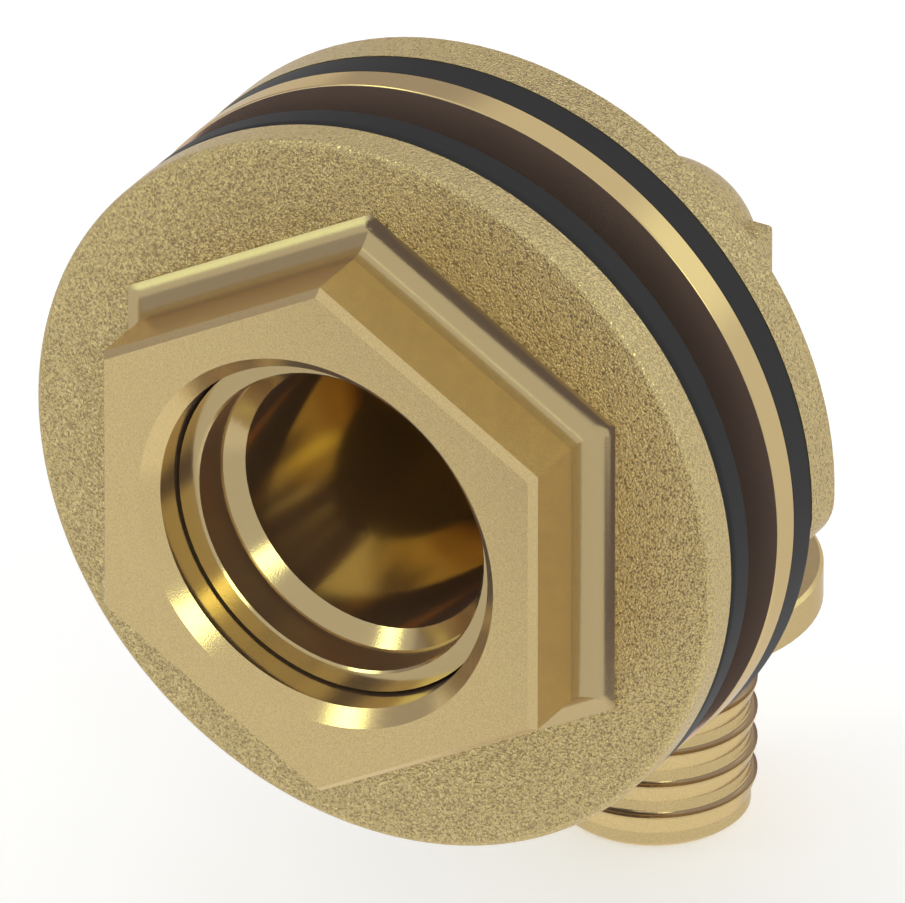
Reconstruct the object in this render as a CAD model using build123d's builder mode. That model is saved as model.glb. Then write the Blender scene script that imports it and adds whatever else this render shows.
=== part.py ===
from build123d import *
import os

# Cistern angle connector: a brass elbow is clamped in the wall of a cistern between its own
# flange and a flange nut. Millimetres. The origin is on the spigot's axis, in the plane where
# the clamp washer meets the cistern wall. +Y runs from the nut to the back of the elbow, and
# the pipe nipple points down, along -Z.

# Stack along the spigot
disc_diameter = 50.0
washer_thickness = 2.0
gasket_thickness = 2.33
wall_gap = 3.69
gasket_step = 0.05
gasket_front_edge_radius = 0.8
gasket_edge_chamfer = 0.15

# Flange nut
disc_thickness = 2.4
disc_edge_radius = 0.5
hex_across_flats = 32.0
hex_root_radius = 2.2
hex_root_width = 1.95
hex_root_step = 0.15
nut_height = 9.55
hex_chamfer_radial = 0.4
hex_chamfer_axial = 0.6
nut_bore_chamfer = 1.0

# Spigot, with a G 3/4 thread outside and an Rp 1/2 thread inside, both at their plain diameter
spigot_diameter = 23.78
spigot_past_nut_seat = 6.5
thread_clearance = 0.18
gasket_clearance = 0.2
washer_clearance = 0.4
counterbore_diameter = 20.96
counterbore_depth = 2.95
spigot_lip = 0.15
thread_relief_step = 0.1
port_core_diameter = 18.63
port_lead_in = 1.0
port_depth = 20.6
drill_point_length = 2.65

# Flange and casting of the elbow
flange_thickness = 3.18
flange_flat_below_axis = 4.6
flange_corner_radius = 3.9
flange_edge_radius = 0.4
casting_wall = 2.7
boss_past_port = 1.0
boss_taper_length = 7.0
taper_blend_radius = 3.0
boss_fillet_radius = 1.0
shoulder_width = 1.5
leg_radius = 6.8
corner_drop = 0.22
leg_axis_to_washer = 27.59
waterway_diameter = 9.8

# Flat pads beside the vertical leg
pad_half_width = 7.0
pad_half_depth = 3.1
pad_top = 2.75
pad_corner_radius = 0.15
pad_edge_radius = 0.35

# Collar and pipe nipple
collar_diameter = 22.0
collar_thickness = 2.58
collar_underside = 25.08
collar_chamfer = 0.24
leg_fillet_radius = 0.6
nipple_end = 40.6
nipple_diameter = 12.74
nipple_end_chamfer = 0.3
barb_height = 0.4
barb_land = 0.12
barb_slope_length = 1.2
barb_pitch = 2.316
barb_count = 6
lowest_barb = 38.26

# Places that follow from the sizes above
disc_radius = disc_diameter / 2
gasket_radius = disc_radius - gasket_step
spigot_radius = spigot_diameter / 2
flange_front = washer_thickness + gasket_thickness
flange_rear = flange_front + flange_thickness
nut_seat = -(wall_gap + gasket_thickness)
disc_front = nut_seat - disc_thickness
nut_front = nut_seat - nut_height
spigot_tip = nut_seat - spigot_past_nut_seat
counterbore_end = spigot_tip + counterbore_depth
counterbore_radius = counterbore_diameter / 2
port_radius = port_core_diameter / 2
port_start = counterbore_end + port_lead_in
port_end = port_start + port_depth
waterway_radius = waterway_diameter / 2
boss_radius = port_radius + casting_wall
shoulder_radius = boss_radius + shoulder_width
boss_end = port_end + boss_past_port
taper_end = boss_end + boss_taper_length
corner_top_radius = leg_radius - corner_drop
collar_radius = collar_diameter / 2
collar_top = collar_underside - collar_thickness
nipple_radius = nipple_diameter / 2
barb_radius = nipple_radius + barb_height
leg_axis = Axis((0, leg_axis_to_washer, 0), (0, 0, 1))


def facing_front(y):
    """Plane across the spigot's axis at y: X to the right, Z up, normal towards the nut."""
    return Plane.XZ.offset(-y)


def flat_ring(thickness, outer_radius, inner_radius, rear):
    """Flat ring around the spigot, from its rear plane forwards."""
    with BuildPart() as ring:
        with BuildSketch(facing_front(rear)):
            Circle(outer_radius)
            Circle(inner_radius, mode=Mode.SUBTRACT)
        extrude(amount=thickness)
    return ring


def outer_edge(ring, front):
    """The ring's largest circular edge at its front or rear face."""
    face = ring.faces().filter_by(Axis.Y).sort_by(Axis.Y)[0 if front else -1]
    return face.edges().sort_by(SortBy.RADIUS)[-1]


# Machined washer between the cistern wall and the rear gasket
with BuildPart() as clamp_washer:
    add(flat_ring(washer_thickness, disc_radius, spigot_radius + washer_clearance, washer_thickness).part)
    chamfer(outer_edge(clamp_washer, front=True), gasket_edge_chamfer / 2)
clamp_washer.part.label = "clamp_washer"

# Rubber ring between the washer and the elbow's own flange
with BuildPart() as rear_gasket:
    add(flat_ring(gasket_thickness, gasket_radius, spigot_radius + gasket_clearance, flange_front).part)
    chamfer(outer_edge(rear_gasket, front=True), gasket_edge_chamfer)
rear_gasket.part.label = "rear_gasket"

# Rubber ring that the nut presses against the cistern wall, with a rounded edge on the nut's side
with BuildPart() as front_gasket:
    add(flat_ring(gasket_thickness, gasket_radius, spigot_radius + gasket_clearance, -wall_gap).part)
    fillet(outer_edge(front_gasket, front=True), gasket_front_edge_radius)
front_gasket.part.label = "front_gasket"

# Milled hexagon of the nut, with the flare that the cutter leaves at its root
with BuildPart() as nut_hexagon:
    with BuildSketch(facing_front(disc_front)):
        RegularPolygon(hex_across_flats / 2 + 2 * hex_root_radius, 6, major_radius=False, rotation=30)
    extrude(amount=hex_root_step)
    with BuildSketch(facing_front(disc_front)):
        RegularPolygon(hex_across_flats / 2, 6, major_radius=False, rotation=30)
    extrude(amount=disc_front - nut_front)
    root_face = nut_hexagon.faces().filter_by(Axis.Y).sort_by(Axis.Y)[1]
    fillet(root_face.inner_wires().edges(), hex_root_radius)
    with BuildSketch(facing_front(disc_front)):
        RegularPolygon(hex_across_flats / 2 + hex_root_width, 6, major_radius=False, rotation=30)
    extrude(amount=disc_front - nut_front, mode=Mode.INTERSECT)
    front_face = nut_hexagon.faces().sort_by(Axis.Y)[0]
    chamfer(front_face.edges(), hex_chamfer_radial, hex_chamfer_axial, reference=front_face)

# Flange nut: a cast disc with the hexagon on it, bored for the spigot's thread
with BuildPart() as flange_nut:
    with BuildSketch(facing_front(nut_seat)):
        Circle(disc_radius)
    extrude(amount=disc_thickness)
    fillet(flange_nut.faces().sort_by(Axis.Y)[0].edges(), disc_edge_radius)
    add(nut_hexagon.part)
    with BuildSketch(facing_front(nut_seat)):
        Circle(spigot_radius + thread_clearance)
    extrude(amount=nut_height, mode=Mode.SUBTRACT)
    mouth = flange_nut.faces().sort_by(Axis.Y)[0].edges().filter_by(GeomType.CIRCLE)
    chamfer(mouth, nut_bore_chamfer)
flange_nut.part.label = "flange_nut"

# Upright block whose two sides stand out of the vertical leg as flat pads
with BuildPart() as pad_block:
    with BuildSketch(Plane.XY.offset(pad_top)):
        with Locations((0, leg_axis_to_washer)):
            RectangleRounded(2 * pad_half_width, 2 * pad_half_depth, pad_corner_radius)
    extrude(amount=-(pad_top + collar_top))
    fillet(pad_block.faces().sort_by(Axis.Z)[-1].edges(), pad_edge_radius)


# Round flange of the elbow, cut flat below so that a tool can reach the nipple
with BuildPart() as elbow_flange:
    with BuildSketch(facing_front(flange_rear)) as flange_outline:
        Circle(disc_radius)
        with Locations((0, -flange_flat_below_axis)):
            Rectangle(disc_diameter, disc_radius, align=(Align.CENTER, Align.MAX), mode=Mode.SUBTRACT)
        fillet(flange_outline.vertices(), flange_corner_radius)
    extrude(amount=flange_thickness)
    fillet(elbow_flange.faces().sort_by(Axis.Y)[-1].edges(), flange_edge_radius)


def at_leg(radius, z):
    """Point of a half section that is revolved about the vertical leg's axis."""
    return (leg_axis_to_washer + radius, z)


# Elbow: spigot, flange, boss, corner, vertical leg, collar and nipple in one casting
with BuildPart() as elbow_body:
    # Spigot, boss behind the flange and tapered horizontal leg
    with BuildSketch(Plane.YZ) as leg_section:
        with BuildLine():
            Polyline(
                (spigot_tip, 0),
                (spigot_tip, spigot_radius),
                (flange_front, spigot_radius),
                (flange_front, shoulder_radius),
                (flange_rear, shoulder_radius),
                (flange_rear, boss_radius),
                (boss_end, boss_radius),
                (taper_end, corner_top_radius),
                (leg_axis_to_washer, corner_top_radius),
                (leg_axis_to_washer, 0),
                close=True,
            )
        make_face()
        for corner in [(boss_end, boss_radius), (taper_end, corner_top_radius)]:
            fillet(leg_section.vertices().sort_by_distance(corner)[0], taper_blend_radius)
        boss_root = leg_section.vertices().sort_by_distance((flange_rear, boss_radius))[0]
        fillet(boss_root, boss_fillet_radius)
    revolve(axis=Axis.Y)

    add(elbow_flange.part)

    # Domed corner and vertical leg with its pads
    with Locations((0, leg_axis_to_washer, -corner_drop)):
        Sphere(leg_radius)
    with BuildSketch(Plane.XY.offset(-corner_drop)):
        with Locations((0, leg_axis_to_washer)):
            Circle(leg_radius)
    extrude(amount=corner_drop - collar_underside)
    add(pad_block.part)

    # Nipple with barbs that let the pipe slide on and hold it back, and the collar that stops it
    with BuildSketch(Plane.YZ):
        with BuildLine():
            start = at_leg(nipple_radius - nipple_end_chamfer, -nipple_end)
            pen = at_leg(nipple_radius, nipple_end_chamfer - nipple_end)
            Line(start, pen)
            for barb in range(barb_count):
                crest = barb * barb_pitch - lowest_barb
                slope_start = at_leg(nipple_radius, crest - barb_slope_length)
                slope_end = at_leg(barb_radius, crest)
                land_end = at_leg(barb_radius, crest + barb_land)
                shoulder_end = at_leg(nipple_radius, crest + barb_land + barb_height)
                Polyline(pen, slope_start, slope_end, land_end)
                RadiusArc(land_end, shoulder_end, barb_height)
                pen = shoulder_end
            Polyline(
                pen,
                at_leg(nipple_radius, -collar_underside),
                at_leg(collar_radius, -collar_underside),
                at_leg(collar_radius, -collar_top - collar_chamfer),
                at_leg(collar_radius - collar_chamfer, -collar_top),
                at_leg(0, -collar_top),
                at_leg(0, -nipple_end),
                start,
            )
        make_face()
    revolve(axis=leg_axis)
    collar_face = elbow_body.faces().filter_by(Axis.Z).filter_by(lambda face: face.area > collar_radius**2)
    fillet(collar_face.sort_by(Axis.Z)[-1].inner_wires().edges(), leg_fillet_radius)

    # Port: lip, counterbore, lead-in, thread core, drill point, then the waterway to the corner
    with BuildSketch(Plane.YZ):
        with BuildLine():
            Polyline(
                (spigot_tip, 0),
                (spigot_tip, counterbore_radius + spigot_lip),
                (spigot_tip + spigot_lip, counterbore_radius),
                (counterbore_end, counterbore_radius),
                (counterbore_end, counterbore_radius - thread_relief_step),
                (port_start, port_radius),
                (port_end, port_radius),
                (port_end + drill_point_length, waterway_radius),
                (leg_axis_to_washer, waterway_radius),
                (leg_axis_to_washer, 0),
                close=True,
            )
        make_face()
    revolve(axis=Axis.Y, mode=Mode.SUBTRACT)
    with Locations((0, leg_axis_to_washer, 0)):
        Sphere(waterway_radius, mode=Mode.SUBTRACT)
    with BuildSketch(Plane.XY):
        with Locations((0, leg_axis_to_washer)):
            Circle(waterway_radius)
    extrude(amount=-nipple_end, mode=Mode.SUBTRACT)
    nipple_mouth = elbow_body.faces().sort_by(Axis.Z)[0].edges().sort_by(SortBy.RADIUS)[0]
    chamfer(nipple_mouth, nipple_end_chamfer)
elbow_body.part.label = "elbow_body"


os.makedirs("parts", exist_ok=True)
export_step(elbow_body.part, "parts/elbow_body.step")
export_step(rear_gasket.part, "parts/rear_gasket.step")
export_step(clamp_washer.part, "parts/clamp_washer.step")
export_step(front_gasket.part, "parts/front_gasket.step")
export_step(flange_nut.part, "parts/flange_nut.step")
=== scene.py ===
# %% [markdown]
# # Cistern angle connector
# A brass elbow is clamped in the wall of a cistern. A cast flange nut with a milled hexagon
# presses a rubber ring on the inside of the wall. On the outside a turned washer and a second
# rubber ring lie against the elbow's own flange. This lesson dresses the five pieces: the nut
# and the rings are modelled again with Blender's own operators, with the fine edges that a
# CAD model leaves out, and the cast elbow keeps its CAD mesh and gets a better finish.
#
# The imported model is loaded first. Its box is kept and printed, and its lowest point places
# the floor.

# %% Load the frame
import math

import bmesh
import bpy
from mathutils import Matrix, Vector


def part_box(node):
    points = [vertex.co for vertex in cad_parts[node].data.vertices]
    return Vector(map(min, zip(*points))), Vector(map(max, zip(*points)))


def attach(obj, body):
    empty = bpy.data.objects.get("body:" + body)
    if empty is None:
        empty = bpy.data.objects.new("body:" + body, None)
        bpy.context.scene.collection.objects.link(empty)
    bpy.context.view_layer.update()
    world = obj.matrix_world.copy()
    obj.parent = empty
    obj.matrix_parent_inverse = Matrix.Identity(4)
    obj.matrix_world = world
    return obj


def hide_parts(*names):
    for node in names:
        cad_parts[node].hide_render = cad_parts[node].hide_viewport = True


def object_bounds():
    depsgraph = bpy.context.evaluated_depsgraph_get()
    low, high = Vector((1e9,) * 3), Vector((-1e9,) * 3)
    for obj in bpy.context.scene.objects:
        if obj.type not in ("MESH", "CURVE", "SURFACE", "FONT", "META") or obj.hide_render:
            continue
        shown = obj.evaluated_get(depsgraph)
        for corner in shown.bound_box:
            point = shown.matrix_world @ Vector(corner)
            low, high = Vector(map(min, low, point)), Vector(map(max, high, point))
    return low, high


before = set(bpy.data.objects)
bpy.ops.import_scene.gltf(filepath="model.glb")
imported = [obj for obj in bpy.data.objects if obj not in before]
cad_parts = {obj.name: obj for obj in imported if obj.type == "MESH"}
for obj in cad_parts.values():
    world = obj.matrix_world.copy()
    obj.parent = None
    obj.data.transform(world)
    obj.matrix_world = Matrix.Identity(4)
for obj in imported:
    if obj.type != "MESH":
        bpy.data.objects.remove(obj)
cad_low, cad_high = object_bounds()
mm = 0.001
print("CAD box in mm:", [round(v / mm, 2) for v in (*cad_low, *cad_high)])

# %% [markdown]
# ## Camera
# The photograph has no vanishing points: circles of one size keep their size from front to
# back. A very long lens from far away gives nearly the same look. The photograph was taken 30
# degrees to the right of the spigot's axis and 30 degrees above it. The small amounts added to
# these angles, and the aim, spread what is left of the perspective over front and back. The
# distance follows from the width of the view, which is 57.83 mm at the object.

# %% Camera at the photograph's angle
def towards(azimuth, elevation):
    """Direction at an azimuth and elevation in degrees. The nut faces azimuth 0."""
    azimuth, elevation = math.radians(azimuth), math.radians(elevation)
    return Vector((
        math.sin(azimuth) * math.cos(elevation),
        -math.cos(azimuth) * math.cos(elevation),
        math.sin(elevation),
    ))


view_width = 57.826 * mm
aim = Vector((0.954, 0.08, -0.685)) * mm
towards_camera = towards(30.27, 29.87)

camera = bpy.data.objects.new("camera", bpy.data.cameras.new("camera"))
bpy.context.scene.collection.objects.link(camera)
camera.data.lens = 1500
camera.data.sensor_width = 36
distance = view_width * camera.data.lens / camera.data.sensor_width
camera.location = aim + towards_camera * distance
camera.rotation_mode = "QUATERNION"
camera.rotation_quaternion = (-towards_camera).to_track_quat("-Z", "Y")
camera.data.clip_start, camera.data.clip_end = 0.1, 20
bpy.context.scene.camera = camera
bpy.context.scene.view_settings.view_transform = "Standard"
print("camera distance in m:", round(distance, 3))

# %% [markdown]
# ## Sizes of the pieces
# Each piece lies where its CAD node lies, so its ends are read from the node's box. The other
# sizes are those of the real piece, in millimetres.

# %% Sizes
nut_low, nut_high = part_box("flange_nut")
nut_front, nut_seat = nut_low.y / mm, nut_high.y / mm
disc_radius = nut_high.x / mm
disc_thickness = 2.4
disc_edge_radius = 0.5
nut_bore_radius = 12.07
nut_bore_chamfer = 1.0
nut_seat_chamfer = 0.4

hex_apothem = 16.0
hex_root_radius = 2.2
hex_root_width = 1.95
hex_root_step = 0.15
hex_chamfer = (0.4, 0.6)

front_gasket_span = [corner.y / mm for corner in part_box("front_gasket")]
rear_gasket_span = [corner.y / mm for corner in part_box("rear_gasket")]
washer_span = [corner.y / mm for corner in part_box("clamp_washer")]
gasket_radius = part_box("front_gasket")[1].x / mm
gasket_bore_radius = 12.09
washer_bore_radius = 12.29
print("nut from", round(nut_front, 2), "to", round(nut_seat, 2))
print("washer", [round(v, 2) for v in washer_span])

# %% [markdown]
# ## Helpers for modelling
# A turned or cast ring is a closed loop of circles. By hand it would be made from one circle:
# extrude it, scale it to the next radius, move it to the next place, and so on round the
# section. These helpers do the same. Every circle lies across the spigot's axis, which is Y,
# and the loops are found again by their place.

# %% Helpers for loops
def lay_across(y):
    """Turns the new circle across the spigot's axis and moves it to y, in millimetres."""
    bpy.ops.transform.rotate(value=math.radians(90), orient_axis="X", center_override=(0, 0, 0))
    bpy.ops.transform.translate(value=(0, y * mm, 0))


def begin(name, vertices, radius, y):
    """Adds a circle across the spigot's axis and opens it in edit mode."""
    bpy.ops.object.select_all(action="DESELECT")
    bpy.ops.mesh.primitive_circle_add(vertices=vertices, radius=radius * mm, location=(0, 0, 0))
    piece = bpy.context.object
    piece.name = piece.data.name = name
    bpy.ops.object.mode_set(mode="EDIT")
    bpy.ops.mesh.select_all(action="SELECT")
    lay_across(y)
    return piece


def step_to(old, new):
    """Extrudes the selected loop from (radius, y) to the next (radius, y), in millimetres."""
    grow = new[0] / old[0]
    move = (0, (new[1] - old[1]) * mm, 0)
    bpy.ops.mesh.extrude_region_move(TRANSFORM_OT_translate={"value": move})
    bpy.ops.transform.resize(value=(grow, 1, grow), center_override=(0, 0, 0))


def follow(section):
    """Takes the selected loop along a list of (radius, y)."""
    for old, new in zip(section, section[1:]):
        step_to(old, new)


def arc(centre, radius, start, end, steps):
    """Points on an arc of the section, from one angle to another in degrees."""
    angles = [math.radians(start + (end - start) * step / steps) for step in range(steps + 1)]
    return [(centre[0] + radius * math.cos(a), centre[1] + radius * math.sin(a)) for a in angles]


# %% [markdown]
# A piece is closed in the same way each time. Doubles are merged, faces turned outwards and,
# where a width is given, edges broken by a narrow bevel. Then round faces are shaded smooth,
# and flat ones keep their flat shade through weighted normals.

# %% Close a piece
def close_up(piece, bevel_width=0.0):
    """Merges doubles, turns the faces outwards and, when a bevel width is given, rounds the sharp
    edges a little.
    """
    sharp = math.radians(25)
    bpy.ops.mesh.select_mode(type="VERT")
    bpy.ops.mesh.select_all(action="SELECT")
    bpy.ops.mesh.remove_doubles(threshold=0.002 * mm)
    bpy.ops.mesh.normals_make_consistent(inside=False)
    bpy.ops.object.mode_set(mode="OBJECT")
    if bevel_width:
        edge_break = piece.modifiers.new("edge break", "BEVEL")
        edge_break.width = bevel_width * mm
        edge_break.segments = 2
        edge_break.limit_method = "ANGLE"
        edge_break.angle_limit = sharp
        bpy.ops.object.modifier_apply(modifier=edge_break.name)
    bpy.ops.object.shade_smooth_by_angle(angle=sharp)
    flat_faces = piece.modifiers.new("flat faces stay flat", "WEIGHTED_NORMAL")
    flat_faces.weight = 100
    flat_faces.keep_sharp = True
    bpy.ops.object.modifier_apply(modifier=flat_faces.name)
    bpy.ops.object.transform_apply(location=True, rotation=True, scale=True)
    print(piece.name, len(piece.data.polygons), "faces")


# %% [markdown]
# ## Flange nut
# The real nut is a casting. Its disc keeps the rough skin of the mould, and the hexagon is
# milled, with a hollow root where the cutter ran out just above the disc. Two shapes meet
# here: circles for the disc and the bore, hexagons for the hexagon. Both start as loops with
# the same number of points, so they can be bridged without a boolean, and the two flat faces
# between a circle and a hexagon stay flat.
#
# The hexagon comes first. One hexagonal loop is scaled about the axis at every step, so its
# corners stay sharp all the way down the hollow root, as a milled corner does.

# %% Hexagon with its root
loop_points = 192
disc_front = nut_seat - disc_thickness
root_start = disc_front - hex_root_step - hex_root_radius
root_end_angle = math.degrees(math.acos(1 - hex_root_width / hex_root_radius))
root_arc = arc((hex_apothem + hex_root_radius, root_start), hex_root_radius,
               180 - root_end_angle, 180, 16)

corner_radius = (hex_apothem + hex_root_width) / math.cos(math.pi / 6)
flange_nut = begin("flange_nut_dressed", 6, corner_radius, disc_front)
bpy.ops.mesh.subdivide(number_cuts=loop_points // 6 - 1)
follow([(hex_apothem + hex_root_width, disc_front)] + root_arc + [
    (hex_apothem, nut_front + hex_chamfer[1]),
    (hex_apothem - hex_chamfer[0], nut_front),
])
print("hollow root over", round(root_end_angle), "degrees, in", len(root_arc), "loops")

# %% [markdown]
# The bore starts as a second loop inside the same mesh. It goes through the mouth's chamfer and
# down to the seat, out to the rim and back over the rim's cast edge. Then two bridges close the
# nut: one across the milled front face, and one across the disc.

# %% Bore, seat and rim of the nut
def add_loop(vertices, radius, y):
    """Adds a loop to the piece that is open, and leaves only that loop selected."""
    bpy.ops.mesh.select_all(action="DESELECT")
    bpy.ops.mesh.primitive_circle_add(vertices=vertices, radius=radius * mm, location=(0, 0, 0))
    lay_across(y)


def bridge_at(piece, y):
    """Bridges the two open loops that lie in the plane at y."""
    bpy.ops.mesh.select_mode(type="EDGE")
    bpy.ops.mesh.select_all(action="DESELECT")
    mesh = bmesh.from_edit_mesh(piece.data)
    for edge in mesh.edges:
        middle = (edge.verts[0].co + edge.verts[1].co) / 2
        if abs(middle.y / mm - y) < 0.001:
            edge.select_set(True)
    mesh.select_flush_mode()
    bmesh.update_edit_mesh(piece.data)
    bpy.ops.mesh.bridge_edge_loops()


add_loop(loop_points, nut_bore_radius + nut_bore_chamfer, nut_front)
follow([
    (nut_bore_radius + nut_bore_chamfer, nut_front),
    (nut_bore_radius, nut_front + nut_bore_chamfer),
    (nut_bore_radius, nut_seat - nut_seat_chamfer),
    (nut_bore_radius + nut_seat_chamfer, nut_seat),
    (disc_radius, nut_seat),
] + arc((disc_radius - disc_edge_radius, disc_front + disc_edge_radius),
        disc_edge_radius, 0, -90, 6))
bridge_at(flange_nut, nut_front)
bridge_at(flange_nut, disc_front)
close_up(flange_nut)

# %% [markdown]
# ## Rubber rings and washer
# The rings are punched from sheet rubber and the washer is turned, so each is one section
# taken once round the axis. Spin would do that too, but the nut's helpers are there already.
# The last loop lies on the first, and the two are merged. The front ring's front edge is well
# rounded, and the other edges are only broken.

# %% Rings
def ring(name, section):
    """Closed ring from its section, a list of (radius, y) in millimetres."""
    piece = begin(name, loop_points, *section[0])
    follow(section + section[:1])
    return piece


def flat_ring(name, span, bore_radius, radius, chamfer):
    """Ring with a chamfer on the outer edge of its front face."""
    front, rear = span
    return ring(name, [
        (bore_radius, rear), (bore_radius, front), (radius - chamfer, front),
        (radius, front + chamfer), (radius, rear),
    ])


front, rear = front_gasket_span
rounding = 0.8
front_gasket = ring(
    "front_gasket_dressed",
    [(gasket_bore_radius, rear), (gasket_bore_radius, front)]
    + arc((gasket_radius - rounding, front + rounding), rounding, -90, 0, 8)
    + [(gasket_radius, rear)],
)
close_up(front_gasket, bevel_width=0.05)

rear_gasket = flat_ring("rear_gasket_dressed", rear_gasket_span,
                        gasket_bore_radius, gasket_radius, chamfer=0.15)
close_up(rear_gasket, bevel_width=0.04)

clamp_washer = flat_ring("clamp_washer_dressed", washer_span,
                         washer_bore_radius, disc_radius, chamfer=0.075)
close_up(clamp_washer, bevel_width=0.03)

# %% [markdown]
# Each new piece takes the place of its CAD node and rides on the body that carries the node.
# The washer and the rear ring stay with the elbow when the nut turns.

# %% Put the pieces in the frame
for piece, node, body in (
    (flange_nut, "flange_nut", "nut"),
    (front_gasket, "front_gasket", "front_seal"),
    (rear_gasket, "rear_gasket", "elbow"),
    (clamp_washer, "clamp_washer", "elbow"),
):
    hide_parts(node)
    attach(piece, body)
    print(piece.name, "rides on", body)

# %% [markdown]
# ## Helpers for nodes
# A finish is a small tree of nodes. These helpers add a node together with its links, so that
# each finish below reads as a list of steps. A socket is given by its name, or by its number
# with a line before it, as in _0.

# %% Helpers for nodes
def connect(tree, value, socket):
    """Links an output to a socket, or sets a plain value on it."""
    if isinstance(value, bpy.types.NodeSocket):
        tree.links.new(value, socket)
    else:
        socket.default_value = value


def add_node(tree, kind, settings=None, **sockets):
    """Adds a node, sets its properties and the values or links of its sockets."""
    node = tree.nodes.new(kind)
    for key, value in (settings or {}).items():
        setattr(node, key, value)
    for key, value in sockets.items():
        number = key[1:]
        name = int(number) if number.isdigit() else key.replace("_", " ")
        connect(tree, value, node.inputs[name])
    return node


def maths(tree, operation, first, second=0.0):
    """Result of a Math node on numbers or links."""
    return add_node(tree, "ShaderNodeMath", {"operation": operation},
                    _0=first, _1=second).outputs[0]


def smooth_step(tree, value, start, end):
    """0 at the start and 1 at the end, with a smooth change between them."""
    return add_node(tree, "ShaderNodeMapRange", {"interpolation_type": "SMOOTHSTEP"},
                    Value=value, From_Min=start, From_Max=end).outputs[0]


# %% [markdown]
# ## Skin of a casting
# Sand leaves shallow round dimples in a casting, a fraction of a millimetre wide, with finer
# grit on them. They could be sculpted or drawn as an image, but noise nodes need no unwrapping
# and stay sharp from close by. More than one piece is cast, so this effect is a node group that
# is built once. It reads the place on the piece in millimetres, and puts out the height of the
# skin and where its hollows are.

# %% Node group of the casting skin
def new_group(name, inputs, outputs):
    """Shader node group with named sockets; returns the group and its two ends."""
    group = bpy.data.node_groups.new(name, "ShaderNodeTree")
    for socket_name, kind, value in inputs:
        socket = group.interface.new_socket(socket_name, in_out="INPUT", socket_type=kind)
        if value is not None:
            socket.default_value = value
    for socket_name in outputs:
        group.interface.new_socket(socket_name, in_out="OUTPUT", socket_type="NodeSocketFloat")
    return group, group.nodes.new("NodeGroupInput"), group.nodes.new("NodeGroupOutput")


casting_skin, skin_in, skin_out = new_group(
    "casting skin",
    [("Place", "NodeSocketVector", None), ("Grains per mm", "NodeSocketFloat", 5.4),
     ("Grit", "NodeSocketFloat", 0.3)],
    ["Height", "Hollows"],
)
dimples = add_node(
    casting_skin, "ShaderNodeTexNoise", Vector=skin_in.outputs["Place"],
    Scale=skin_in.outputs["Grains per mm"], Detail=1.0, Roughness=0.5, Distortion=0.6,
).outputs[0]
grit = add_node(
    casting_skin, "ShaderNodeTexNoise", Vector=skin_in.outputs["Place"],
    Scale=maths(casting_skin, "MULTIPLY", skin_in.outputs["Grains per mm"], 1.7), Detail=0.0,
).outputs[0]
grit_height = maths(casting_skin, "MULTIPLY", grit, skin_in.outputs["Grit"])
height = maths(casting_skin, "ADD", grit_height, smooth_step(casting_skin, dimples, 0.32, 0.62))
casting_skin.links.new(height, skin_out.inputs["Height"])
casting_skin.links.new(smooth_step(casting_skin, dimples, 0.41, 0.34), skin_out.inputs["Hollows"])

# %% [markdown]
# ## Clouds and specks
# A machined or moulded surface is never quite even. Broad clouds make it a little rougher here
# and there, and fine specks are the trace of the tool or the mould.

# %% Node group of clouds and specks
clouds, clouds_in, clouds_out = new_group(
    "clouds",
    [("Place", "NodeSocketVector", None), ("Clouds per mm", "NodeSocketFloat", 0.3),
     ("Specks per mm", "NodeSocketFloat", 8.0)],
    ["Clouds", "Specks"],
)
for effect, detail in (("Clouds", 3.0), ("Specks", 0.0)):
    noise = add_node(clouds, "ShaderNodeTexNoise", Vector=clouds_in.outputs["Place"],
                     Scale=clouds_in.outputs[effect + " per mm"], Detail=detail)
    clouds.links.new(noise.outputs[0], clouds_out.inputs[effect])
print("node groups:", [group.name for group in bpy.data.node_groups])

# %% [markdown]
# ## Finishes
# Brass is a metal, so its colour is the colour of its reflections. A trace of old lacquer, as
# a thin rough coat, keeps its darkest reflections from going black. All brass has this coat,
# and the finishes differ in how they were made: cast, milled, faced, turned or bored.
#
# Every look below gives four things: colour, share of metal, roughness, and the height of its
# relief in millimetres, which becomes a bump in real size.

# %% Start and end of a finish
def new_material(name, constants):
    """Material with its tree and its shader, which gets these values on its own sockets."""
    material = bpy.data.materials.new(name)
    material.use_nodes = True
    tree = material.node_tree
    shader = tree.nodes["Principled BSDF"]
    for socket, value in constants.items():
        shader.inputs[socket].default_value = value
    return material, tree, shader


def new_finish(name, constants):
    """Material with its tree, its shader and the place on the piece in millimetres."""
    material, tree, shader = new_material(name, constants)
    place = tree.nodes.new("ShaderNodeTexCoord").outputs["Object"]
    place = add_node(tree, "ShaderNodeVectorMath", {"operation": "SCALE"}, _0=place, Scale=1 / mm)
    return material, tree, shader, place.outputs[0]


def finish_surface(tree, shader, colour, metallic, roughness, height):
    """Sends a look to the shader, with the height as a bump in real size."""
    connect(tree, colour, shader.inputs["Base Color"])
    connect(tree, metallic, shader.inputs["Metallic"])
    connect(tree, roughness, shader.inputs["Roughness"])
    bump = add_node(tree, "ShaderNodeBump", Height=height, Distance=mm)
    tree.links.new(bump.outputs[0], shader.inputs["Normal"])


brass_metallic = 0.85
brass_constants = {
    "Specular IOR Level": 0.25, "Specular Tint": (0.85, 0.75, 0.55, 1),
    "Coat Weight": 0.5, "Coat Roughness": 0.5,
    "Sheen Weight": 0.05, "Sheen Roughness": 0.8, "Sheen Tint": (1.0, 0.6, 0.75, 1),
}
rubber_constants = {"Specular IOR Level": 0.15}

# %% [markdown]
# Two more helpers are needed for the looks. One measures how far a point is from an axis, and
# the other mixes two numbers, vectors or colours. The sockets of a Mix node have the same names
# for each kind, so they are given by their numbers.

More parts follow.
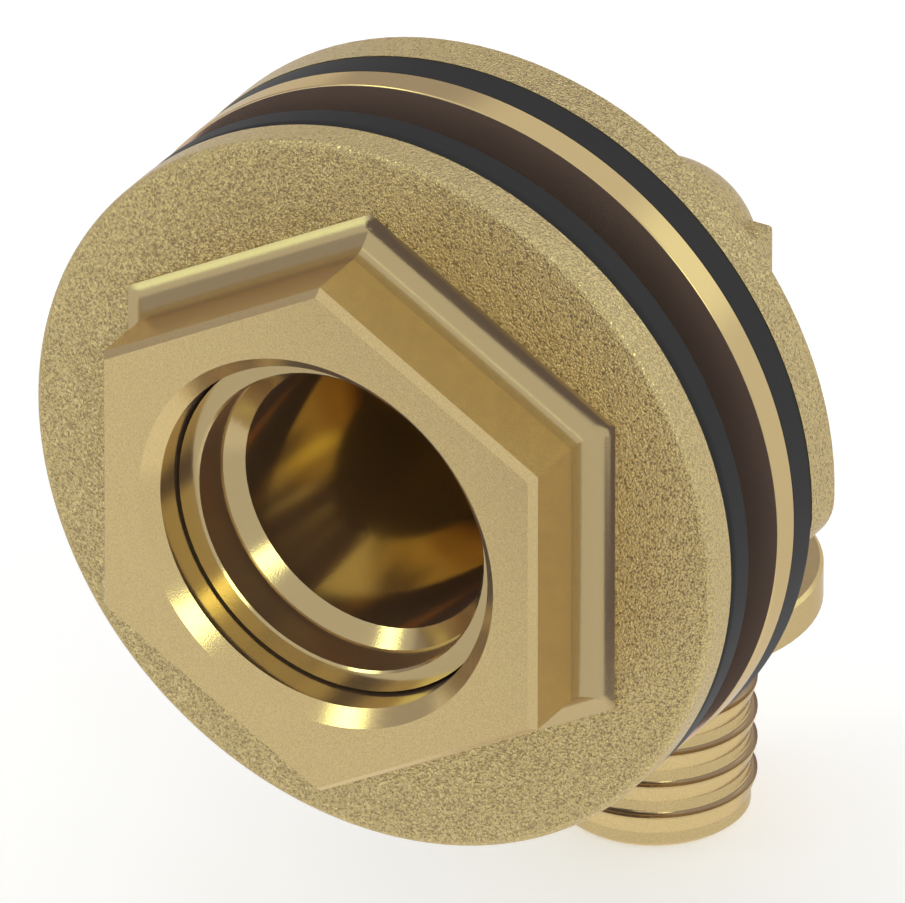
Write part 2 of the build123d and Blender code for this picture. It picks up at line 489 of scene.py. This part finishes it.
# %% Helpers for looks
def length_of(tree, first, second):
    """Length of the vector with these two coordinates."""
    flat = add_node(tree, "ShaderNodeCombineXYZ", _0=first, _1=second).outputs[0]
    return add_node(tree, "ShaderNodeVectorMath", {"operation": "LENGTH"},
                    _0=flat).outputs["Value"]


def mix(tree, kind, factor, first, second):
    """The first of two numbers, vectors or colours at factor 0, the second at factor 1."""
    node = add_node(tree, "ShaderNodeMix", {"data_type": kind}, _0=factor)
    first_socket, output = {"FLOAT": (2, 0), "VECTOR": (4, 1), "RGBA": (6, 2)}[kind]
    connect(tree, first, node.inputs[first_socket])
    connect(tree, second, node.inputs[first_socket + 1])
    return node.outputs[output]


# %% [markdown]
# The cast skin is brass with a painted shade that darkens its hollows. On the nut's rim the mould
# was smoother, so a look with a rim is fainter beyond that radius, with less relief and less
# painted shade in the hollows.

# %% Cast brass
cast_colour = (0.735, 0.595, 0.275, 1)
# painted shade: the hollows of the skin get this darker colour
hollow_shade_colour = (0.42, 0.31, 0.145, 1)
skin_depth = 0.13
nut_rim = 24.95
rim_fade = 0.8
rim_hollow_shade, rim_relief = 0.55, 0.75


def cast_look(tree, place, rim=None):
    """Look of the cast skin, fainter beyond the rim's radius where one is given."""
    skin = add_node(tree, "ShaderNodeGroup", {"node_tree": casting_skin}, Place=place)
    hollows, height = skin.outputs["Hollows"], skin.outputs["Height"]
    if rim:
        parts = add_node(tree, "ShaderNodeSeparateXYZ", _0=place).outputs
        to_rim = smooth_step(tree, length_of(tree, parts["X"], parts["Z"]), rim - rim_fade, rim)
        hollows = maths(tree, "MULTIPLY", hollows, mix(tree, "FLOAT", to_rim, 1.0, rim_hollow_shade))
        height = maths(tree, "MULTIPLY", height, mix(tree, "FLOAT", to_rim, 1.0, rim_relief))
    # the hollows are painted darker, as painted shade
    colour = mix(tree, "RGBA", hollows, cast_colour, hollow_shade_colour)
    return colour, brass_metallic, 0.15, maths(tree, "MULTIPLY", height, skin_depth)


cast_brass, tree, shader, place = new_finish("cast brass", brass_constants)
finish_surface(tree, shader, *cast_look(tree, place, nut_rim))
print(cast_brass.name, "has", len(tree.nodes), "nodes")

# %% [markdown]
# The smooth surfaces all use the clouds and specks. Their colour and roughness are one value,
# or a list of two values between which the clouds or specks choose. The nut's hexagon is
# milled, its front is faced and so a little duller, and its bore is bored. The hexagon's hollow
# root gets a darker colour, a painted shade in the recess.

# %% Smooth brass on the nut
def smooth_look(tree, place, colour, metallic, roughness, relief,
                clouds_per_mm, specks_per_mm, colour_from="Specks"):
    """Look of a machined or moulded surface."""
    cloud = add_node(tree, "ShaderNodeGroup", {"node_tree": clouds}, Place=place,
                     Clouds_per_mm=clouds_per_mm, Specks_per_mm=specks_per_mm).outputs
    if isinstance(colour, list):
        colour = mix(tree, "RGBA", cloud[colour_from], *colour)
    if isinstance(roughness, list):
        roughness = mix(tree, "FLOAT", cloud["Clouds"], *roughness)
    return colour, metallic, roughness, maths(tree, "MULTIPLY", cloud["Specks"], relief)


dull_and_bright = [(0.57, 0.435, 0.195, 1), (0.83, 0.645, 0.29, 1)]
# painted shade: a darker colour for recessed machined faces, the nut's root and the port's lip and
# lead-in
root_shade_colour = (0.55, 0.43, 0.21, 1)
bored_colour = (0.69, 0.54, 0.235, 1)
bored_metallic = 0.95
milled_roughness, faced_roughness, bored_roughness = [0.10, 0.17], [0.22, 0.30], [0.09, 0.14]


def machined_look(tree, place, colour=dull_and_bright, roughness=milled_roughness):
    """Look of a milled or turned face."""
    return smooth_look(tree, place, colour, brass_metallic, roughness,
                       relief=0.004, clouds_per_mm=0.3, specks_per_mm=13.0)


def bored_look(tree, place):
    """Look of a bore, which is smoother and brighter metal."""
    return smooth_look(tree, place, bored_colour, bored_metallic, bored_roughness,
                       relief=0.002, clouds_per_mm=0.3, specks_per_mm=8.0)


machined_brass, tree, shader, place = new_finish("machined brass", brass_constants)
finish_surface(tree, shader, *machined_look(tree, place))

faced_brass, tree, shader, place = new_finish("faced brass", brass_constants)
finish_surface(tree, shader, *machined_look(tree, place, roughness=faced_roughness))

# this material carries the root's painted shade
shaded_root_brass, tree, shader, place = new_finish("root brass with painted shade", brass_constants)
finish_surface(tree, shader, *machined_look(tree, place, colour=root_shade_colour))

bored_brass, tree, shader, place = new_finish("bored brass", brass_constants)
finish_surface(tree, shader, *bored_look(tree, place))
nut_finishes = [machined_brass, cast_brass, bored_brass, shaded_root_brass, faced_brass]
print("finishes of the nut:", [finish.name for finish in nut_finishes])

# %% [markdown]
# The washer is turned from bar, with a finer cut than the nut. Its flat face in the wall gap is
# lapped and a little redder. The rubber has no metal and no coat, and only a dull shine.

# %% Washer brass and rubber
turned_colour = (0.70, 0.54, 0.245, 1)
lapped_colours = [(0.80, 0.57, 0.44, 1), (0.93, 0.66, 0.51, 1)]
rubber_colours = [(0.027, 0.026, 0.027, 1), (0.035, 0.034, 0.035, 1)]

washer_brass, tree, shader, place = new_finish("turned washer brass", brass_constants)
finish_surface(tree, shader, *smooth_look(
    tree, place, turned_colour, brass_metallic, [0.12, 0.22],
    relief=0.001, clouds_per_mm=0.2, specks_per_mm=8.0))

washer_face_brass, tree, shader, place = new_finish("lapped washer brass", brass_constants)
finish_surface(tree, shader, *smooth_look(
    tree, place, lapped_colours, brass_metallic, 0.14,
    relief=0.001, clouds_per_mm=0.2, specks_per_mm=8.0, colour_from="Clouds"))

black_rubber, tree, shader, place = new_finish("black rubber", rubber_constants)
finish_surface(tree, shader, *smooth_look(
    tree, place, rubber_colours, 0.0, [0.42, 0.58],
    relief=0.006, clouds_per_mm=0.15, specks_per_mm=6.0, colour_from="Clouds"))
ring_finishes = [washer_brass, washer_face_brass, black_rubber]
print("finishes of the rings:", [finish.name for finish in ring_finishes])

# %% [markdown]
# ## Finishes on the pieces
# The nut has five finishes, and every face has one of them: the disc and its rim are cast, the
# bore is bored, the front is faced, and the hexagon is machined down to its root, which gets a
# painted shade. The faces are picked by their place. The washer's front face is picked by its
# normal.

# %% Put the finishes on the new pieces
def wear(piece, *materials):
    """Gives the piece its materials, the first one on every face."""
    piece.data.materials.clear()
    for material in materials:
        piece.data.materials.append(material)


cast_rim_width = 0.6


def nut_finish(face):
    """Which of the nut's finishes a face has. The small numbers are tolerances in mm."""
    middle = face.center / mm
    radius = math.hypot(middle.x, middle.z)
    if abs(middle.y - nut_front) < 0.01:
        return faced_brass
    if radius < nut_bore_radius + 0.05 and abs(face.normal.y) < 0.1:
        return bored_brass
    on_rim = middle.y > disc_front - 0.01 and radius > disc_radius - cast_rim_width
    on_slope = middle.y > disc_front - hex_root_step and abs(face.normal.y) < 0.999
    on_disc = (on_slope or abs(middle.y - disc_front) < 0.02) and radius > hex_apothem
    if (on_rim or on_disc) and middle.y < nut_seat - 0.02:
        return cast_brass
    if root_start < middle.y < disc_front - hex_root_step / 2 and radius > hex_apothem:
        return shaded_root_brass
    return machined_brass


wear(flange_nut, *nut_finishes)
for face in flange_nut.data.polygons:
    face.material_index = nut_finishes.index(nut_finish(face))
wear(front_gasket, black_rubber)
wear(rear_gasket, black_rubber)
wear(clamp_washer, washer_brass, washer_face_brass)
for face in clamp_washer.data.polygons:
    face.material_index = int(face.normal.y < -0.95)
picked = [face.material_index for face in flange_nut.data.polygons]
for index, finish in enumerate(nut_finishes):
    print("nut:", picked.count(index), "faces in", finish.name)

# %% [markdown]
# ## Elbow
# The elbow keeps its CAD mesh of many small triangles, so its finishes are told apart in the
# material, and not by picking faces. It is machined in three places: the spigot with its port
# up to the flange's seat, the collar with its barbed nipple, and the waterway. Masks from the
# place on the piece tell them from the cast skin. A mask is 1 inside its part, and its limits
# lie a little beyond the real faces.

# %% Masks on the elbow
def below(tree, value, limit):
    """1 where the value is below the limit."""
    return maths(tree, "LESS_THAN", value, limit)


def above(tree, value, limit):
    """1 where the value is above the limit."""
    return maths(tree, "GREATER_THAN", value, limit)


leg_axis = 27.59
port_radius, drill_point_end = 9.5, 15.0
waterway_radius = 5.1
collar_top = -22.5
past_face = 0.02

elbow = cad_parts["elbow_body"]
elbow_brass, tree, shader, place = new_finish("elbow brass", brass_constants)
parts = add_node(tree, "ShaderNodeSeparateXYZ", _0=place).outputs
along_leg = maths(tree, "SUBTRACT", parts["Y"], leg_axis)
on_spigot = below(tree, parts["Y"], rear_gasket_span[1] + past_face)
on_nipple = below(tree, parts["Z"], collar_top + past_face)
in_port = maths(tree, "MULTIPLY",
                below(tree, length_of(tree, parts["X"], parts["Z"]), port_radius),
                below(tree, parts["Y"], drill_point_end))
in_waterway = maths(tree, "MULTIPLY",
                    below(tree, length_of(tree, parts["X"], along_leg), waterway_radius),
                    below(tree, parts["Z"], 0.0))
machined = on_spigot
for mask in (on_nipple, in_port, in_waterway):
    machined = maths(tree, "MAXIMUM", machined, mask)

# %% [markdown]
# The nipple is turned. Under each barb's crest a painted shade darkens the shoulder, so this
# darker colour repeats with the barbs' pitch.

# %% Nipple with painted shade under its barbs
lowest_barb, barb_pitch, barb_land, barb_count = 38.26, 2.316, 0.12, 6
shoulder_length = 0.25
# painted shade on the shoulder under each barb's crest
shoulder_shade_colour = (0.34, 0.235, 0.13, 1)

above_crest = maths(tree, "ADD", parts["Z"], lowest_barb - barb_land)
along_barb = maths(tree, "FRACT", maths(tree, "DIVIDE", above_crest, barb_pitch))
in_shoulder_shade = below(tree, along_barb, shoulder_length / barb_pitch)
in_barbs = below(tree, parts["Z"], barb_count * barb_pitch - lowest_barb - 1)
for mask in (in_barbs, above(tree, above_crest, 0.0)):
    in_shoulder_shade = maths(tree, "MULTIPLY", in_shoulder_shade, mask)
turned = list(machined_look(tree, place))
# the turned colour gets the painted shade on the shoulders
turned[0] = mix(tree, "RGBA", in_shoulder_shade, turned[0], shoulder_shade_colour)

# %% [markdown]
# The port has three stretches. The lip and the lead-in are cut like the nut's root and get its
# painted shade, a darker colour in the recess. The wall of the counterbore between them is
# rougher and browner, and the thread's core behind is bored.

# %% Port with its counterbore
spigot_tip, counterbore_end, lead_in_end = -12.52, -9.57, -8.57
lip, short_of_end = 0.16, 0.03
counterbore_colour = (0.66, 0.49, 0.30, 1)
counterbore_roughness = 0.3

bored = list(bored_look(tree, place))
before_thread = below(tree, parts["Y"], lead_in_end + past_face)
in_counterbore = maths(tree, "MULTIPLY",
                       below(tree, parts["Y"], counterbore_end - short_of_end),
                       above(tree, parts["Y"], spigot_tip + lip))
# the lip and the lead-in get the root's painted shade
bored[0] = mix(tree, "RGBA", before_thread, bored_colour, root_shade_colour)
bored[0] = mix(tree, "RGBA", in_counterbore, bored[0], counterbore_colour)
bored[2] = mix(tree, "FLOAT", in_counterbore, bored[2], counterbore_roughness)

# %% [markdown]
# Last the three looks are joined: turned or bored where the elbow is machined, cast elsewhere.

# %% Finish of the elbow
kinds = "RGBA", "FLOAT", "FLOAT", "FLOAT"
look = []
for kind, cast, bore, turn in zip(kinds, cast_look(tree, place), bored, turned):
    smooth = mix(tree, kind, on_nipple, bore, turn)
    look.append(mix(tree, kind, machined, cast, smooth))
finish_surface(tree, shader, *look)
wear(elbow, elbow_brass)
print(elbow_brass.name, "has", len(tree.nodes), "nodes")

# %% [markdown]
# ## Studio
# Shiny brass shows its surroundings, so the studio matters as much as the metal. The world is a
# pale room with soft lights, and each light is a soft-edged rectangle in some direction. Area
# lamps could stand there too, but a light in the world is placed by its direction alone. The
# camera itself sees plain white behind the object.

# %% Node group of a soft light
soft_light, light_in, light_out = new_group(
    "soft light",
    [("Direction", "NodeSocketVector", None), ("Forward", "NodeSocketVector", None),
     ("Across", "NodeSocketVector", None), ("Up", "NodeSocketVector", None),
     ("Half width", "NodeSocketFloat", 0.3), ("Half height", "NodeSocketFloat", 0.3),
     ("Soft edge", "NodeSocketFloat", 0.1)],
    ["Mask"],
)
light = light_in.outputs


def seen_along(side):
    """How far the direction reaches along one side of the light."""
    return add_node(soft_light, "ShaderNodeVectorMath", {"operation": "DOT_PRODUCT"},
                    _0=light["Direction"], _1=light[side]).outputs["Value"]


ahead = maths(soft_light, "MAXIMUM", seen_along("Forward"), 0.001)
within = []
for side, half in (("Across", "Half width"), ("Up", "Half height")):
    off_centre = maths(soft_light, "ABSOLUTE", maths(soft_light, "DIVIDE", seen_along(side), ahead))
    outer = maths(soft_light, "ADD", light[half], light["Soft edge"])
    inner = maths(soft_light, "SUBTRACT", light[half], light["Soft edge"])
    within.append(smooth_step(soft_light, off_centre, outer, inner))
soft_light.links.new(maths(soft_light, "MULTIPLY", *within), light_out.inputs["Mask"])

# %% [markdown]
# The lights lie in the directions in which the brass shows them. Two small bright boxes give the
# sharp highlights, a shade on the left darkens what faces it, and the light from below stands
# for the white floor.

# %% World
world = bpy.data.worlds.new("studio")
bpy.context.scene.world = world
world.use_nodes = True
tree = world.node_tree
direction = tree.nodes.new("ShaderNodeTexCoord").outputs["Generated"]

# azimuth and elevation, width and height, all in degrees, then colour and soft edge
lights = {
    "floor light": (0, -90, 96, 96, (0.95, 0.93, 0.93), 0.15),
    "left shade": (-118, 24, 116, 34, (0.40, 0.37, 0.41), 0.08),
    "right box": (43, 27, 13, 17, (4.5, 5.0, 3.6), 0.05),
    "left box": (-57, 42, 13, 13, (4.5, 5.0, 3.6), 0.05),
    "low left strip": (-40, -10, 12, 18, (1.6, 1.9, 1.6), 0.08),
    "ceiling strip": (70, 66, 4, 40, (1.3, 1.4, 1.3), 0.02),
    "back box": (147, 25, 20, 22, (1.2, 1.25, 1.15), 0.08),
}
studio = (0.76, 0.75, 0.76)
for name, (azimuth, elevation, width, height, colour, soft_edge) in lights.items():
    forward = towards(azimuth, elevation)
    across = Vector((math.cos(math.radians(azimuth)), math.sin(math.radians(azimuth)), 0))
    box = add_node(
        tree, "ShaderNodeGroup", {"node_tree": soft_light, "label": name},
        Direction=direction, Forward=forward, Across=across, Up=across.cross(forward),
        Half_width=math.tan(math.radians(width / 2)),
        Half_height=math.tan(math.radians(height / 2)), Soft_edge=soft_edge,
    )
    studio = mix(tree, "VECTOR", box.outputs[0], studio, colour)
to_camera = tree.nodes.new("ShaderNodeLightPath").outputs["Is Camera Ray"]
seen = mix(tree, "RGBA", to_camera, studio, (1, 1, 1, 1))
tree.links.new(seen, tree.nodes["Background"].inputs["Color"])
print("lights of the studio:", ", ".join(lights))

# %% [markdown]
# ## Dark card
# A dark card of four parts stands about 8 cm in front of the nut. Only reflections see it, and
# it gives the turned brass its dark edges. It is a real card and no light in the world, because
# it is so near that each piece sees it somewhere else.

# %% Card in front of the nut
card_place = -95
# left, right, lower and upper edge of each part
card_parts = (-25, 18, -42, 56), (-14, 48, -64, -42), (-43, -25, -28, 40), (-64, -43, 10, 46)
upright = (math.radians(90), 0, 0)

bpy.ops.object.select_all(action="DESELECT")
bpy.ops.mesh.primitive_plane_add(size=1, rotation=upright)
card = bpy.context.object
card.name = card.data.name = "dark_card"
bpy.ops.object.mode_set(mode="EDIT")
bpy.ops.mesh.select_all(action="SELECT")
bpy.ops.mesh.delete(type="VERT")
for left, right, lower, upper in card_parts:
    middle = Vector(((left + right) / 2, card_place, (lower + upper) / 2)) * mm
    bpy.ops.mesh.select_all(action="DESELECT")
    bpy.ops.mesh.primitive_plane_add(size=mm, location=middle, rotation=upright)
    bpy.ops.transform.resize(value=(right - left, 1, upper - lower), center_override=middle)
bpy.ops.object.mode_set(mode="OBJECT")
bpy.ops.object.transform_apply(location=True, rotation=True, scale=True)

card_black, tree, shader = new_material("card black", {
    "Base Color": (0.09, 0.055, 0.11, 1), "Roughness": 1.0, "Specular IOR Level": 0.0})
wear(card, card_black)
card.visible_camera = card.visible_diffuse = card.visible_shadow = False
print("card in front of the nut by mm:", round(nut_front - card_place, 1))

# %% [markdown]
# ## Floor
# The elbow stands on its nipple on a plain white floor. The floor is lit like any other
# surface and keeps the soft shadow, and a part of what the camera sees is plain white, so that
# it runs into the background. The world's lower half stands for the floor in the reflections.

# %% Floor
floor_size = 3
floor_height = cad_low.z - 0.05 * mm
floor_glow = 0.35

bpy.ops.object.select_all(action="DESELECT")
bpy.ops.mesh.primitive_plane_add(size=floor_size, location=(0, 0, floor_height))
floor = bpy.context.object
floor.name = floor.data.name = "floor"
floor_white, tree, shader = new_material("floor white", {
    "Base Color": (0.9, 0.9, 0.9, 1), "Roughness": 0.9, "Emission Color": (1, 1, 1, 1)})
to_camera = tree.nodes.new("ShaderNodeLightPath").outputs["Is Camera Ray"]
glow = maths(tree, "MULTIPLY", to_camera, floor_glow)
tree.links.new(glow, shader.inputs["Emission Strength"])
wear(floor, floor_white)
floor.visible_glossy = False
print("floor at z in mm:", round(floor_height / mm, 2))
